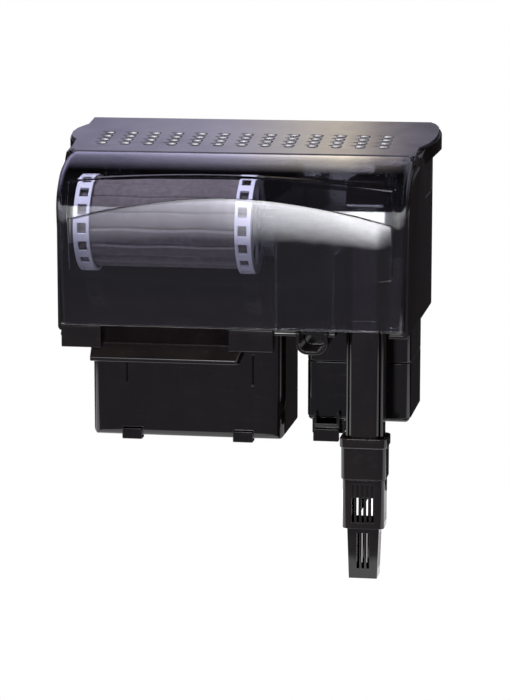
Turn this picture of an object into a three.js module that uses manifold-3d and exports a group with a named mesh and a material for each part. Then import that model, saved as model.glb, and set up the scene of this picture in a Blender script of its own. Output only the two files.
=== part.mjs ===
// Hang-on-back aquarium filter with a rotating media wheel, millimetres, +Z up.
// +X runs along the tank's back rim, -Y points into the tank, and the origin is where the
// tub's underside rests on the rim. The tub, the media chamber and the pump well are one moulding.
import * as THREE from 'three';
import { mergeVertices, mergeGeometries } from 'three/addons/utils/BufferGeometryUtils.js';
import Module from 'manifold-3d';

const wasm = await Module();
wasm.setup();

// ---------- driving dimensions ----------
const GAP = 0.4; // air left between pieces that touch
const WALL = 3; // moulded wall
const SKIN = 2.5; // cover and lid wall

const TUB_HALF = 139.6; // half width over the tub's sides
const TUB_FRONT_HALF = 136; // half width at the tub's front edges
const TUB_FRONT = -47; // y of the side walls' front edges
const TUB_BACK = 101;
const SEAM_Y = -3; // where lid and front cover meet
const SEAM_Z = 135; // top surface at the seam
const LID_SLOPE = 17 / 107; // the lid rises towards the back
const LID_BACK = 104;
const LID_HALF = 135.5;

const COVER_FRONT = -57;
const COVER_BOTTOM = 6;
const COVER_BEND_Z = 95; // below this the cover's front is upright
const COVER_SKIRT = 9; // how far the cover's sides reach back

const BOX_FRONT = 17; // front faces of the two hanging chambers
const BOX_BACK = 100;
const MEDIA_BOX = { x0: -124, x1: 31, z0: -95 };
const PUMP_BOX = { x0: 49, x1: 131, z0: -30 };
const MOTOR_BOTTOM = -78;

const WHEEL_Y = -12;
const WHEEL_Z = 80;
const WHEEL_R = 37.5;
const WHEEL_X0 = -122.6;
const WHEEL_X1 = 15.4;
const RIM_WIDTH = 12.5;
const WHEEL_NOTCHES = 16;
const PLEATS = 16;

const SPILL_X0 = -109; // the lip that pours into the tank
const SPILL_X1 = 10;

const INTAKE_X = 100.5;
const INTAKE_HALF = 14.5; // half width of the intake tube
const INTAKE_DEPTH = 22;
const INTAKE_IN_Y = -21; // centre of the leg inside the tank
const INTAKE_OUT_Y = 50; // centre of the leg in the pump well
const INTAKE_TOP = 118;
const INTAKE_FOOT = -128; // lower end of the tank leg, inside the strainer

const PUMP_Y = INTAKE_OUT_Y;
const MAGNET_R = 10.5;
const WELL_R = 12;

// ---------- materials ----------
const finish = (color, roughness, metalness = 0) =>
  new THREE.MeshStandardMaterial({ color, roughness, metalness });
const BLACK = () => finish(0x141316, 0.28);
const SMOKE = () => finish(0x2a2c3c, 0.1);
const INTAKE_BLACK = () => finish(0x17120f, 0.35);
const WHITE = () => finish(0xd8d6e4, 0.45);
const PLEAT = () => finish(0x6f6257, 0.85);
const BLUE = () => finish(0x3f66a8, 0.6);
const FLOSS = () => finish(0xdfe6ee, 0.95);
const CARBON = () => finish(0x15161a, 0.8);
const STEEL = () => finish(0x8d9096, 0.35, 1);
const COPPER = () => finish(0xa8612f, 0.4, 1);
const CERAMIC = () => finish(0xf1efe8, 0.2);
const RUBBER = () => finish(0x1b1b1b, 0.9);
const MAGNET = () => finish(0x35363a, 0.6);
const GREY = () => finish(0x4a4b50, 0.5);

// ---------- geometry helpers ----------
const group = new THREE.Group();

function welded(geometry) {
  const bare = geometry.index ? geometry.toNonIndexed() : geometry.clone();
  for (const name of Object.keys(bare.attributes)) {
    if (name !== 'position') bare.deleteAttribute(name);
  }
  return mergeVertices(bare, 1e-4);
}

function solid(geometry) {
  const mesh = welded(geometry);
  return new wasm.Manifold(new wasm.Mesh({
    numProp: 3,
    vertProperties: new Float32Array(mesh.attributes.position.array),
    triVerts: new Uint32Array(mesh.index.array),
  }));
}

function geometryOf(body) {
  const mesh = body.getMesh();
  const geometry = new THREE.BufferGeometry();
  geometry.setAttribute('position', new THREE.BufferAttribute(mesh.vertProperties, 3));
  geometry.setIndex(new THREE.BufferAttribute(mesh.triVerts, 1));
  return geometry;
}

const union = (...bodies) => bodies.reduce((a, b) => a.add(b));
const cut = (body, ...tools) => tools.reduce((a, b) => a.subtract(b), body);

function add(name, body, material) {
  const geometry = geometryOf(body).toNonIndexed();
  geometry.computeVertexNormals();
  const mesh = new THREE.Mesh(geometry, material);
  mesh.name = name;
  group.add(mesh);
  return mesh;
}

function box(x0, x1, y0, y1, z0, z1) {
  const geometry = new THREE.BoxGeometry(x1 - x0, y1 - y0, z1 - z0);
  geometry.translate((x0 + x1) / 2, (y0 + y1) / 2, (z0 + z1) / 2);
  return solid(geometry);
}

function extrude(shape, depth, curveSegments = 4) {
  return new THREE.ExtrudeGeometry(shape, { depth, bevelEnabled: false, curveSegments });
}

// A closed outline of [u, v] points.
function outline(points) {
  return new THREE.Shape(points.map(([u, v]) => new THREE.Vector2(u, v)));
}

function roundRect(u0, u1, v0, v1, r) {
  const shape = new THREE.Shape();
  shape.moveTo(u0 + r, v0);
  shape.lineTo(u1 - r, v0);
  shape.absarc(u1 - r, v0 + r, r, -Math.PI / 2, 0);
  shape.lineTo(u1, v1 - r);
  shape.absarc(u1 - r, v1 - r, r, 0, Math.PI / 2);
  shape.lineTo(u0 + r, v1);
  shape.absarc(u0 + r, v1 - r, r, Math.PI / 2, Math.PI);
  shape.lineTo(u0, v0 + r);
  shape.absarc(u0 + r, v0 + r, r, Math.PI, 1.5 * Math.PI);
  return shape;
}

// Outline in X and Y, extruded up from z0 to z1.
function prismZ(shape, z0, z1, segments) {
  const geometry = extrude(shape, z1 - z0, segments);
  geometry.translate(0, 0, z0);
  return solid(geometry);
}

// Outline in Y and Z, extruded along X from x0 to x1.
function prismX(shape, x0, x1, segments) {
  const geometry = extrude(shape, x1 - x0, segments);
  const turn = new THREE.Matrix4().set(0, 0, 1, x0, 1, 0, 0, 0, 0, 1, 0, 0, 0, 0, 0, 1);
  geometry.applyMatrix4(turn);
  return solid(geometry);
}

// A round bar or ring between two stations along an axis.
function round(axis, a, b, lo, hi, r, inner = 0, segments = 24) {
  const bar = (radius, from, to) => {
    const geometry = new THREE.CylinderGeometry(radius, radius, to - from, segments);
    geometry.translate(0, (from + to) / 2, 0);
    if (axis === 'x') geometry.rotateZ(-Math.PI / 2);
    if (axis === 'z') geometry.rotateX(Math.PI / 2);
    const [x, y, z] = { x: [0, a, b], y: [a, 0, b], z: [a, b, 0] }[axis];
    geometry.translate(x, y, z);
    return solid(geometry);
  };
  const outer = bar(r, lo, hi);
  return inner ? outer.subtract(bar(inner, lo - 1, hi + 1)) : outer;
}

// A body turned by an angle in degrees about a line along X through (y, z).
function turnedX(body, angle, y, z) {
  return body.translate([0, -y, -z]).rotate([angle, 0, 0]).translate([0, y, z]);
}

// Outline in X and Z, extruded along Y from y0 to y1.
function prismY(shape, y0, y1, segments) {
  const geometry = extrude(shape, y1 - y0, segments);
  geometry.rotateX(Math.PI / 2);
  geometry.translate(0, y1, 0);
  return solid(geometry);
}

// A hanging box whose upright and lower edges are rounded.
function softBox(spec, d, r, z0, z1) {
  const [x0, x1] = [spec.x0 + d, spec.x1 - d];
  const [y0, y1] = [BOX_FRONT + d, BOX_BACK - d];
  const plan = prismZ(roundRect(x0, x1, y0, y1, r), z0, z1);
  const face = prismY(roundRect(x0, x1, z0, z1 + 20, Math.min(r, 6)), y0 - 1, y1 + 1, 3);
  const side = prismX(roundRect(y0, y1, z0, z1 + 20, Math.min(r, 6)), x0 - 1, x1 + 1, 3);
  return plan.intersect(face).intersect(side);
}

// ---------- side profiles ----------
const lidTop = (y) => SEAM_Z + (y - SEAM_Y) * LID_SLOPE;

// The cover's outer front profile from its bottom edge up and back to the seam, moved in by d.
function coverProfile(d, bottom, steps = 9) {
  const points = [[COVER_FRONT + d, bottom]];
  const a = SEAM_Y - COVER_FRONT - d;
  const b = SEAM_Z - COVER_BEND_Z - d;
  for (let i = 0; i <= steps; i += 1) {
    const t = Math.PI - (Math.PI / 2) * (i / steps);
    points.push([SEAM_Y + a * Math.cos(t), COVER_BEND_Z + b * Math.sin(t)]);
  }
  return points;
}

// Side view of the tub: a front edge that follows the cover, then the lid's slope to the back.
function tubSide(rimDrop) {
  const front = coverProfile(TUB_FRONT - COVER_FRONT, 0).slice(0, -1);
  return outline([
    ...front,
    [SEAM_Y, lidTop(SEAM_Y) - rimDrop - 5.5],
    [SEAM_Y + 6, lidTop(SEAM_Y + 6) - rimDrop],
    [TUB_BACK, lidTop(TUB_BACK) - rimDrop],
    [TUB_BACK, 0],
  ]);
}

// Plan of the tub, moved in by d, carried on forward by reach.
function tubPlan(d, reach = 0) {
  const front = TUB_FRONT - reach;
  const flare = TUB_HALF - TUB_FRONT_HALF;
  const shape = new THREE.Shape();
  const r = 12 - d;
  const back = TUB_BACK - d;
  shape.moveTo(-(TUB_HALF - flare - d), front);
  shape.lineTo(TUB_HALF - flare - d, front);
  shape.lineTo(TUB_HALF - flare - d, TUB_FRONT);
  shape.lineTo(TUB_HALF - d, 0);
  shape.lineTo(TUB_HALF - d, back - r);
  shape.absarc(TUB_HALF - d - r, back - r, r, 0, Math.PI / 2);
  shape.lineTo(-(TUB_HALF - d - r), back);
  shape.absarc(-(TUB_HALF - d - r), back - r, r, Math.PI / 2, Math.PI);
  shape.lineTo(-(TUB_HALF - d), 0);
  shape.lineTo(-(TUB_HALF - flare - d), TUB_FRONT);
  return shape;
}

// ---------- filter body: one moulding ----------
const RIM_DROP = SKIN + GAP; // the tub's rim sits just under the lid
const FLOOR_BACK_OF_NOTCH = -6; // the tub's front wall beside the intake tube
const RIM_SEAT_FRONT = -9; // the flat underside that sits on the tank's rim starts here
const NOTCH_X0 = 80;
const NOTCH_X1 = 121;
const CREST_Z = 52; // weir between the media chamber and the wheel
const CARTRIDGE_Y = [42, 72];
const CARTRIDGE_DEPTH = 10;

// The tub seen from the front: its lower side edges are cut off at a slant.
function tubFront(d) {
  const half = TUB_HALF - d;
  const base = d ? WALL : 0;
  return outline([[-half + 5, base], [half - 5, base], [half, base + 7], [half, 200], [-half, 200],
    [-half, base + 7]]);
}

function tubShell() {
  const outer = prismX(tubSide(RIM_DROP), -150, 150).intersect(prismZ(tubPlan(0), -1, 200))
    .intersect(prismY(tubFront(0), -100, 150));
  const inner = prismZ(tubPlan(WALL, 20), WALL, 200).intersect(prismY(tubFront(WALL), -100, 150));
  const recess = [-1, 1].map((side) => {
    const [a, b] = side > 0 ? [TUB_HALF - 1.2, TUB_HALF + 1] : [-TUB_HALF - 1, -TUB_HALF + 1.2];
    return box(a, b, 34, 87, 98, 120);
  });
  return cut(outer, inner, ...recess);
}

const hangingChamber = (spec, r) => softBox(spec, 0, r, spec.z0, WALL - 0.5);
const chamberHollow = (spec, r) => softBox(spec, WALL, r - WALL, spec.z0 + WALL, WALL + 1);

// Plan of the pump well and the motor housing under it, moved in by d.
function pumpPlan(d) {
  return roundRect(PUMP_BOX.x0 + d, PUMP_BOX.x1 - d, BOX_FRONT + d, BOX_BACK - d, 8 - d);
}

// The water runs from the crest down under the wheel to the lip.
function spillway() {
  const t = WALL;
  const top = [[BOX_FRONT + 3, CREST_Z], [BOX_FRONT, CREST_Z], [WHEEL_Y, 38.5], [-38, 8], [-45, -4]];
  const under = [[-45 + t, -6], [-38 + t, 6 - t], [WHEEL_Y + 1, 38.5 - t - 0.5],
    [BOX_FRONT - t - 1, CREST_Z - 6], [BOX_FRONT, 1], [BOX_FRONT + 3, 1]];
  return prismX(outline([...top, ...under]), -134.5, 33);
}

function spillLip() {
  const lip = outline([[-38, 2], [-43, -1], [-56, -18.5], [-56, -22], [-52, -22], [-38, -3]]);
  const block = outline([[-53, -12], [-53, 5], [-38, 8], [-38, -4], [-44, -12]]);
  const lipBody = cut(
    prismX(lip, SPILL_X0, SPILL_X1),
    prismZ(outline([[SPILL_X1 - 8, -60], [SPILL_X1 + 1, -60], [SPILL_X1 + 1, -46]]), -30, 10),
  );
  return union(lipBody, prismX(block, -132, -101), prismX(block, -1, 33));
}

// A small round-bottomed overflow spout beside the intake tube.
function overflowSpout() {
  const spout = (d) => {
    const r = 9 - d;
    const shape = new THREE.Shape();
    shape.moveTo(50.5 + d, 20);
    shape.lineTo(50.5 + d, -13 + d + r);
    shape.absarc(50.5 + d + r, -13 + d + r, r, Math.PI, 1.5 * Math.PI);
    shape.lineTo(75 - d - r, -13 + d);
    shape.absarc(75 - d - r, -13 + d + r, r, -Math.PI / 2, 0);
    shape.lineTo(75 - d, 20);
    return shape;
  };
  const top = box(40, 90, -60, 0, 4, 30);
  return cut(prismY(spout(0), -53, -22), prismY(spout(3), -60, -25), top);
}

function tubFloorHoles() {
  return [
    chamberHollow(MEDIA_BOX, 10),
    prismZ(pumpPlan(WALL), PUMP_BOX.z0 + WALL, WALL + 1),
    box(NOTCH_X0, NOTCH_X1, -60, FLOOR_BACK_OF_NOTCH - WALL, -1, 5),
    box(-131, 30, -60, RIM_SEAT_FRONT, -1, 5),
    box(53.5, 72, -60, -25, -1, 5),
  ];
}

// Upright walls inside the tub, each [x0, x1, y0, y1, z0, z1].
const TUB_WALLS = [
  [33, 36, TUB_FRONT + 0.5, TUB_BACK - 2, 1, 104],
  [NOTCH_X0 - WALL, NOTCH_X0, TUB_FRONT + 0.5, FLOOR_BACK_OF_NOTCH, 1, 62],
  [NOTCH_X1, NOTCH_X1 + WALL, TUB_FRONT + 0.5, FLOOR_BACK_OF_NOTCH, 1, 62],
  [NOTCH_X0 - WALL, NOTCH_X1 + WALL, FLOOR_BACK_OF_NOTCH - WALL, FLOOR_BACK_OF_NOTCH, 1, 62],
  [36, NOTCH_X0 - 2, TUB_FRONT + 0.5, TUB_FRONT + 3.5, 1, 5],
  [NOTCH_X1 + 2, 135, TUB_FRONT + 0.5, TUB_FRONT + 3.5, 1, 62],
];

// Outline points on the +X side, or mirrored to the -X side and still counter-clockwise.
function mirrored(points, side) {
  return outline(side > 0 ? points : points.map(([u, v]) => [-u, v]).reverse());
}

// The finger ears that stand out from the tub's sides under the lid's wings. The right one is longer.
const EAR_RIGHT = [[136, 30], [142, 40], [146, 52], [147.5, 66], [147.5, 80], [145, 91], [136, 100]];
const EAR_LEFT = [[136, 31], [142, 37], [146, 45], [147.5, 55], [146, 65], [142, 73], [136, 79]];

function ear(side) {
  const plan = mirrored(side > 0 ? EAR_RIGHT : EAR_LEFT, side);
  const face = mirrored([[138, 123], [147.5, 132], [147.5, 160], [138, 160]], side);
  const block = prismZ(plan, 120, 160).intersect(prismY(face, 20, 110));
  const scoop = side > 0 ? box(140.5, 144.5, 62, 88, 134.5, 160) : box(-144, -140.5, 45, 65, 134.5, 160);
  return block.intersect(prismX(tubSide(RIM_DROP), -150, 150)).subtract(scoop);
}

// Ribs that keep each filter cartridge in its slot.
function cartridgeGuides() {
  const ribs = [];
  for (const y of CARTRIDGE_Y) {
    for (const side of [-1, 1]) {
      const from = y + side * (CARTRIDGE_DEPTH / 2 + 0.8);
      const [y0, y1] = [Math.min(from, from + side * 2), Math.max(from, from + side * 2)];
      const left = MEDIA_BOX.x0 + WALL;
      const right = MEDIA_BOX.x1 - WALL;
      ribs.push(box(left - 0.5, left + 5, y0, y1, MEDIA_BOX.z0 + 2, -4));
      ribs.push(box(right - 5, right + 0.5, y0, y1, MEDIA_BOX.z0 + 2, -4));
    }
  }
  return ribs;
}

// Tabs on the media chamber's front that stand against the glass.
const FEET_X = [-91, -1.5];
const feet = FEET_X.map((x) => box(x - 8, x + 8, BOX_FRONT - 3.5, BOX_FRONT + 6, -97, -88));

// Shallow upright grooves in the media chamber's front face.
const grooves = [[-95.4, -52, -35], [6.2, -51, -27]]
  .map(([x, z0, z1]) => box(x - 0.6, x + 0.6, BOX_FRONT - 1, BOX_FRONT + 0.8, z0, z1));

const SLIDER_X = 66; // the levelling slider's channel under the pump well

const filterBody = cut(
  union(
    tubShell(),
    hangingChamber(MEDIA_BOX, 10),
    prismZ(pumpPlan(0), PUMP_BOX.z0, WALL - 0.5),
  ),
  ...tubFloorHoles(),
);
const PUMP_HOLE_R = 15.5;
add('filter_body', cut(
  union(
    filterBody,
    spillway(),
    spillLip(),
    overflowSpout(),
    ...TUB_WALLS.map((wall) => box(...wall)),
    ear(-1),
    ear(1),
    ...cartridgeGuides(),
    ...feet,
  ),
  round('z', INTAKE_X, PUMP_Y, PUMP_BOX.z0 - 5, PUMP_BOX.z0 + 8, PUMP_HOLE_R, 0, 32),
  box(32, 37, 30, 80, 1 + WALL, 40),
  ...grooves,
), BLACK());

// ---------- front cover and lid ----------
const HINGE_R = SKIN / 2; // the lid's front edge is rounded about the hinge line
const HINGE_Y = SEAM_Y + 1.5;
const HINGE_Z = lidTop(HINGE_Y) - HINGE_R;
const EAR_X0 = 132.9; // the cover's two hinge ears stand outside the lid's front corners
const PIN_R = 0.8;

function frontCover() {
  const outer = coverProfile(0, COVER_BOTTOM, 12);
  const inner = coverProfile(SKIN, COVER_BOTTOM, 12).reverse();
  const shell = prismX(outline([...outer, ...inner]), -LID_HALF, LID_HALF);
  const lower = coverProfile(SKIN / 2, COVER_BOTTOM, 12);
  const deep = coverProfile(COVER_SKIRT, COVER_BOTTOM, 12).reverse();
  const skirtOutline = outline([...lower, ...deep]);
  const skirts = [
    prismX(skirtOutline, -LID_HALF, -LID_HALF + SKIN),
    prismX(skirtOutline, LID_HALF - SKIN, LID_HALF),
  ];
  const footRib = box(-LID_HALF, LID_HALF, COVER_FRONT, COVER_FRONT + 4.5, COVER_BOTTOM, COVER_BOTTOM + 3);
  const border = windowBorder();
  const ears = [-1, 1].map((side) => {
    const [x0, x1] = side > 0 ? [EAR_X0, LID_HALF] : [-LID_HALF, -EAR_X0];
    const tab = outline([[SEAM_Y - 3, HINGE_Z - 2.5], [SEAM_Y - 3, HINGE_Z + 1], [HINGE_Y, HINGE_Z + 1.2],
      [HINGE_Y + 2.2, HINGE_Z + 0.5], [HINGE_Y + 2.2, HINGE_Z - 2.5]]);
    return prismX(tab, x0, x1).subtract(
      round('x', HINGE_Y, HINGE_Z, x0 - 1, x1 + 1, PIN_R + 0.25, 0, 12));
  });
  return union(shell, ...skirts, footRib, border, ...ears);
}

// The raised, arched window of the cover, standing a little proud of its front.
const WINDOW = { x: 127, z0: 41, proud: 1.2 };

function windowBorder() {
  const front = new THREE.Shape();
  front.moveTo(-WINDOW.x, WINDOW.z0 + 5);
  front.quadraticCurveTo(0, WINDOW.z0 - 8, WINDOW.x, WINDOW.z0 + 5);
  front.lineTo(WINDOW.x, 86);
  front.quadraticCurveTo(0, 125, -WINDOW.x, 86);
  const lower = prismY(front, COVER_FRONT - 1, COVER_FRONT + 5, 8);
  const keep = coverProfile(-WINDOW.proud, COVER_BOTTOM, 12);
  const back = coverProfile(SKIN, COVER_BOTTOM, 12).reverse();
  return lower.intersect(prismX(outline([...keep, ...back]), -130, 130));
}

// The cover is slightly narrower at its bottom edge.
const COVER_TAPER = 3 / LID_HALF;
const cover = add('front_cover', frontCover(), SMOKE());
const coverPoints = cover.geometry.attributes.position;
for (let i = 0; i < coverPoints.count; i += 1) {
  const drop = Math.max(0, COVER_BEND_Z - coverPoints.getZ(i)) / (COVER_BEND_Z - COVER_BOTTOM);
  coverPoints.setX(i, coverPoints.getX(i) * (1 - COVER_TAPER * drop));
}

// Vents: columns of four slots each, side by side across the lid.
const VENT_COLUMNS = 13;
const VENT_X0 = -114.8;
const VENT_PITCH = 18.6;
const VENT_ROWS = [22.5, 32.8, 43.1, 53.4];
const VENT_SLOT = { length: 8, width: 3.2 };

// The lid's plan: straight by the seam, then a wing over each finger ear.
const LID_RIGHT = [[LID_HALF, -10], [LID_HALF, 21], [138.5, 28], [142, 36], [144.5, 47], [145.8, 60],
  [146, 74], [144.5, 86], [141, 95], [136, 101], [130, LID_BACK]];
const LID_LEFT = [[-133, LID_BACK], [-137, 102.5], [-138.4, 99], [-138.4, 79], [-141, 74], [-144.5, 66],
  [-146, 55], [-145, 45], [-141.5, 37], [-138, 32], [-137, 18], [-LID_HALF, 8], [-LID_HALF, -10]];
const lidPlan = outline([...LID_RIGHT, ...LID_LEFT]);

function ventedLid() {
  const y0 = HINGE_Y;
  const rear = lidTop(LID_BACK);
  const plate = outline([[y0, lidTop(y0)], [LID_BACK - 4, lidTop(LID_BACK - 4)], [LID_BACK, rear - 3],
    [LID_BACK, rear - 9], [LID_BACK - SKIN, rear - 9], [LID_BACK - SKIN, rear - 3.4],
    [LID_BACK - SKIN - 1.5, rear - SKIN - 0.2], [y0, lidTop(y0) - SKIN]]);
  const edge = round('x', HINGE_Y, HINGE_Z, -LID_HALF, LID_HALF, HINGE_R, 0, 16);
  const cornerCut = (side) => {
    const [x0, x1] = side > 0 ? [EAR_X0 - GAP, LID_HALF + 1] : [-LID_HALF - 1, -EAR_X0 + GAP];
    return box(x0, x1, -10, HINGE_Y + 2.2 + GAP, HINGE_Z - 5, HINGE_Z + 6);
  };
  const pins = round('x', HINGE_Y, HINGE_Z, -LID_HALF + 0.6, LID_HALF - 0.6, PIN_R, 0, 10);
  const body = union(prismX(plate, -150, 150).intersect(prismZ(lidPlan, 100, 200)), edge);
  const slots = [];
  for (let column = 0; column < VENT_COLUMNS; column += 1) {
    const x = VENT_X0 + column * VENT_PITCH;
    for (const y of VENT_ROWS) {
      const half = VENT_SLOT.length / 2;
      const side = VENT_SLOT.width / 2;
      const slant = 0.8;
      const slot = outline([[x - half, y - side + slant], [x + half, y - side - slant],
        [x + half, y + side - slant], [x - half, y + side + slant]]);
      slots.push(extrude(slot, 40));
      const dot = outline([[-half - 2.2, -0.7], [-half - 0.8, -0.7], [-half - 0.8, 0.7], [-half - 2.2, 0.7]]
        .map(([u, v]) => [x + u, y + slant + v]));
      slots.push(extrude(dot, 40));
    }
  }
  const cutter = mergeGeometries(slots.map(welded));
  cutter.translate(0, 0, 125);
  const closed = cut(body, cornerCut(-1), cornerCut(1), solid(cutter));
  return union(closed, pins);
}

add('vented_lid', ventedLid(), BLACK());

// ---------- media wheel ----------
function wheelRim(x0, x1, capOnLeft) {
  const band = round('x', WHEEL_Y, WHEEL_Z, x0, x1, WHEEL_R, WHEEL_R - 2.5, 48);
  const capX = capOnLeft ? [x0, x0 + 2] : [x1 - 2, x1];
  const cap = round('x', WHEEL_Y, WHEEL_Z, ...capX, WHEEL_R - 1, 0, 48);
  const spokes = [];
  const hub = round('x', WHEEL_Y, WHEEL_Z, ...capX, 13, 0, 24);
  const ring = round('x', WHEEL_Y, WHEEL_Z, ...capX, 30, 15, 32);
  for (let i = 0; i < 6; i += 1) {
    const spoke = box(capX[0] - 1, capX[1] + 1, WHEEL_Y - 2.5, WHEEL_Y + 2.5, WHEEL_Z, WHEEL_Z + 35);
    spokes.push(turnedX(spoke, i * 60, WHEEL_Y, WHEEL_Z));
  }
  const gaps = cut(ring, ...spokes);
  const windows = [];
  const [w0, w1] = capOnLeft ? [x0 + 3.2, x1 - 2.4] : [x0 + 2.4, x1 - 3.2];
  for (let i = 0; i < WHEEL_NOTCHES; i += 1) {
    const window = box(w0, w1, WHEEL_Y - 4, WHEEL_Y + 4, WHEEL_Z + 30, WHEEL_Z + 45);
    windows.push(turnedX(window, (i * 360) / WHEEL_NOTCHES, WHEEL_Y, WHEEL_Z));
  }
  const bore = round('x', WHEEL_Y, WHEEL_Z, capX[0] - 1, capX[1] + 1, 3.2, 0, 16);
  return cut(union(band, cap, hub), gaps, bore, ...windows);
}

const CORE_R = 12;
const CORE_WALL = 1.8;
const coreX0 = WHEEL_X0 + 2 + GAP;
const coreX1 = WHEEL_X1 - 2 - GAP;

function pleatedMedia() {
  const points = [];
  for (let i = 0; i < PLEATS * 2; i += 1) {
    const angle = (i * Math.PI) / PLEATS;
    const r = i % 2 ? 31.2 : 34.4;
    points.push([WHEEL_Y + r * Math.cos(angle), WHEEL_Z + r * Math.sin(angle)]);
  }
  const sleeve = prismX(outline(points), WHEEL_X0 + 2.6, WHEEL_X1 - 2.6);
  return sleeve.subtract(round('x', WHEEL_Y, WHEEL_Z, -130, 30, CORE_R + GAP, 0, 24));
}

function axlePin(inner, outer) {
  const [a, b] = [Math.min(inner, outer), Math.max(inner, outer)];
  return round('x', WHEEL_Y, WHEEL_Z, a, b, 2.8, 0, 16);
}

add('wheel_rim_left', wheelRim(WHEEL_X0, WHEEL_X0 + RIM_WIDTH, true), WHITE());
add('wheel_rim_right', wheelRim(WHEEL_X1 - RIM_WIDTH, WHEEL_X1, false), WHITE());
const wheelCore = round('x', WHEEL_Y, WHEEL_Z, coreX0, coreX1, CORE_R, CORE_R - CORE_WALL, 24);
add('wheel_core', wheelCore, BLUE());
add('pleated_media', pleatedMedia(), PLEAT());
const PIN_REACH = 7.5; // how far each axle pin stands out of its rim
add('axle_pin_left', axlePin(WHEEL_X0 + 2, WHEEL_X0 - PIN_REACH), WHITE());
add('axle_pin_right', axlePin(WHEEL_X1 - 2, WHEEL_X1 + PIN_REACH), WHITE());

// The wheel hangs by its two pins in open-topped cradles.
function cradle(x0, x1) {
  const block = box(x0, x1, WHEEL_Y - 7, WHEEL_Y + 7, WHEEL_Z - 16, WHEEL_Z + 8);
  const seat = round('x', WHEEL_Y, WHEEL_Z, x0 - 1, x1 + 1, 2.86, 0, 16);
  const slot = box(x0 - 1, x1 + 1, WHEEL_Y - 2.86, WHEEL_Y + 2.86, WHEEL_Z, WHEEL_Z + 20);
  return cut(block, seat, slot);
}

add('wheel_cradle_left', cradle(-132.2, -125), GREY());
add('wheel_cradle_right', cradle(18, 33 - GAP), GREY());

// ---------- filter cartridges ----------
const CARTRIDGE = { x0: -119.5, x1: 26.5, z0: -88, z1: 66 };

function cartridgeFrame(y) {
  const { x0, x1, z0, z1 } = CARTRIDGE;
  const half = CARTRIDGE_DEPTH / 2;
  const frame = box(x0, x1, y - half, y + half, z0, z1);
  const border = 6;
  const hollow = box(x0 + border, x1 - border, y - half - 1, y + half - 1.5, z0 + border, z1 - border);
  const windows = [];
  const [columns, rows] = [4, 4];
  const cellX = (x1 - x0 - 2 * border + 3) / columns;
  const cellZ = (z1 - z0 - 2 * border + 3) / rows;
  for (let i = 0; i < columns; i += 1) {
    for (let k = 0; k < rows; k += 1) {
      const wx = x0 + border + i * cellX;
      const wz = z0 + border + k * cellZ;
      windows.push(box(wx, wx + cellX - 3, y, y + half + 1, wz, wz + cellZ - 3));
    }
  }
  return cut(frame, hollow, ...windows);
}

CARTRIDGE_Y.forEach((y, i) => {
  const label = ['front', 'rear'][i];
  const inset = 6 + GAP;
  const [x0, x1] = [CARTRIDGE.x0 + inset, CARTRIDGE.x1 - inset];
  const [z0, z1] = [CARTRIDGE.z0 + inset, CARTRIDGE.z1 - inset];
  add(`cartridge_frame_${label}`, cartridgeFrame(y), BLUE());
  add(`floss_pad_${label}`, box(x0, x1, y - 4.8, y - 1.6, z0, z1), FLOSS());
  add(`carbon_fill_${label}`, box(x0 + 3, x1 - 3, y - 1.2, y + 3, z0 + 3, z1 - 3), CARBON());
});

// ---------- pump: motor housing, stator, rotor ----------
const WELL_BOTTOM = -66;
const MOTOR_TOP = PUMP_BOX.z0 - GAP;

function motorHousing() {
  const shell = cut(
    prismZ(pumpPlan(0), MOTOR_BOTTOM + WALL + GAP, MOTOR_TOP),
    prismZ(pumpPlan(WALL), MOTOR_BOTTOM, MOTOR_TOP - WALL),
  );
  const well = round('z', INTAKE_X, PUMP_Y, WELL_BOTTOM - 2, MOTOR_TOP - 1, WELL_R + 2, 0, 32);
  const neck = round('z', INTAKE_X, PUMP_Y, MOTOR_TOP - 1, PUMP_BOX.z0 + WALL, WELL_R + 2, 0, 32);
  const bore = round('z', INTAKE_X, PUMP_Y, WELL_BOTTOM, PUMP_BOX.z0 + 10, WELL_R, 0, 32);
  const shaftSeat = round('z', INTAKE_X, PUMP_Y, WELL_BOTTOM, WELL_BOTTOM + 3, 6, 4.3, 20);
  const inlet = round('y', 88, -62, BOX_BACK - 10, BOX_BACK + 10, 5 + GAP, 0, 20);
  const rail = [-1, 1].map((side) => box(SLIDER_X + side * 13 - 1.5, SLIDER_X + side * 13 + 1.5,
    BOX_FRONT + 1, BOX_FRONT + 2, MOTOR_BOTTOM + 3 + GAP, -60));
  return union(cut(union(shell, well, neck), bore, inlet), shaftSeat, ...rail);
}

// The slider's channel is open through the motor base's front edge.
const SLIDER = { half: 9.2, z0: -91, z1: -78.6, front: 5, back: 48 };

function motorBase() {
  const plate = softBox(PUMP_BOX, 0, 8, MOTOR_BOTTOM, MOTOR_BOTTOM + WALL);
  const keepers = [-1, 1].map((side) => {
    const inner = SLIDER_X + side * (SLIDER.half + GAP);
    const outer = inner + side * 3;
    const lip = inner - side * 3;
    const [a, b] = [Math.min(inner, outer), Math.max(inner, outer)];
    const [c, d] = [Math.min(lip, outer), Math.max(lip, outer)];
    return union(
      box(a, b, BOX_FRONT + 2, 52, -85, MOTOR_BOTTOM + 1),
      box(c, d, BOX_FRONT + 2, 52, -88, -85),
    );
  });
  return union(plate, ...keepers);
}

function levellingSlider() {
  const tongue = box(SLIDER_X - SLIDER.half, SLIDER_X + SLIDER.half, SLIDER.front + 4, SLIDER.back,
    -84.6, MOTOR_BOTTOM - GAP);
  const head = box(SLIDER_X - 10, SLIDER_X + 10, SLIDER.front, SLIDER.front + 6, -92, -82);
  const ribs = [-1, 1].map((side) => box(SLIDER_X + side * 9 - 1, SLIDER_X + side * 9 + 1,
    SLIDER.front + 4, BOX_FRONT - 2, -84, -70));
  return union(tongue, head, ...ribs);
}

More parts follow.
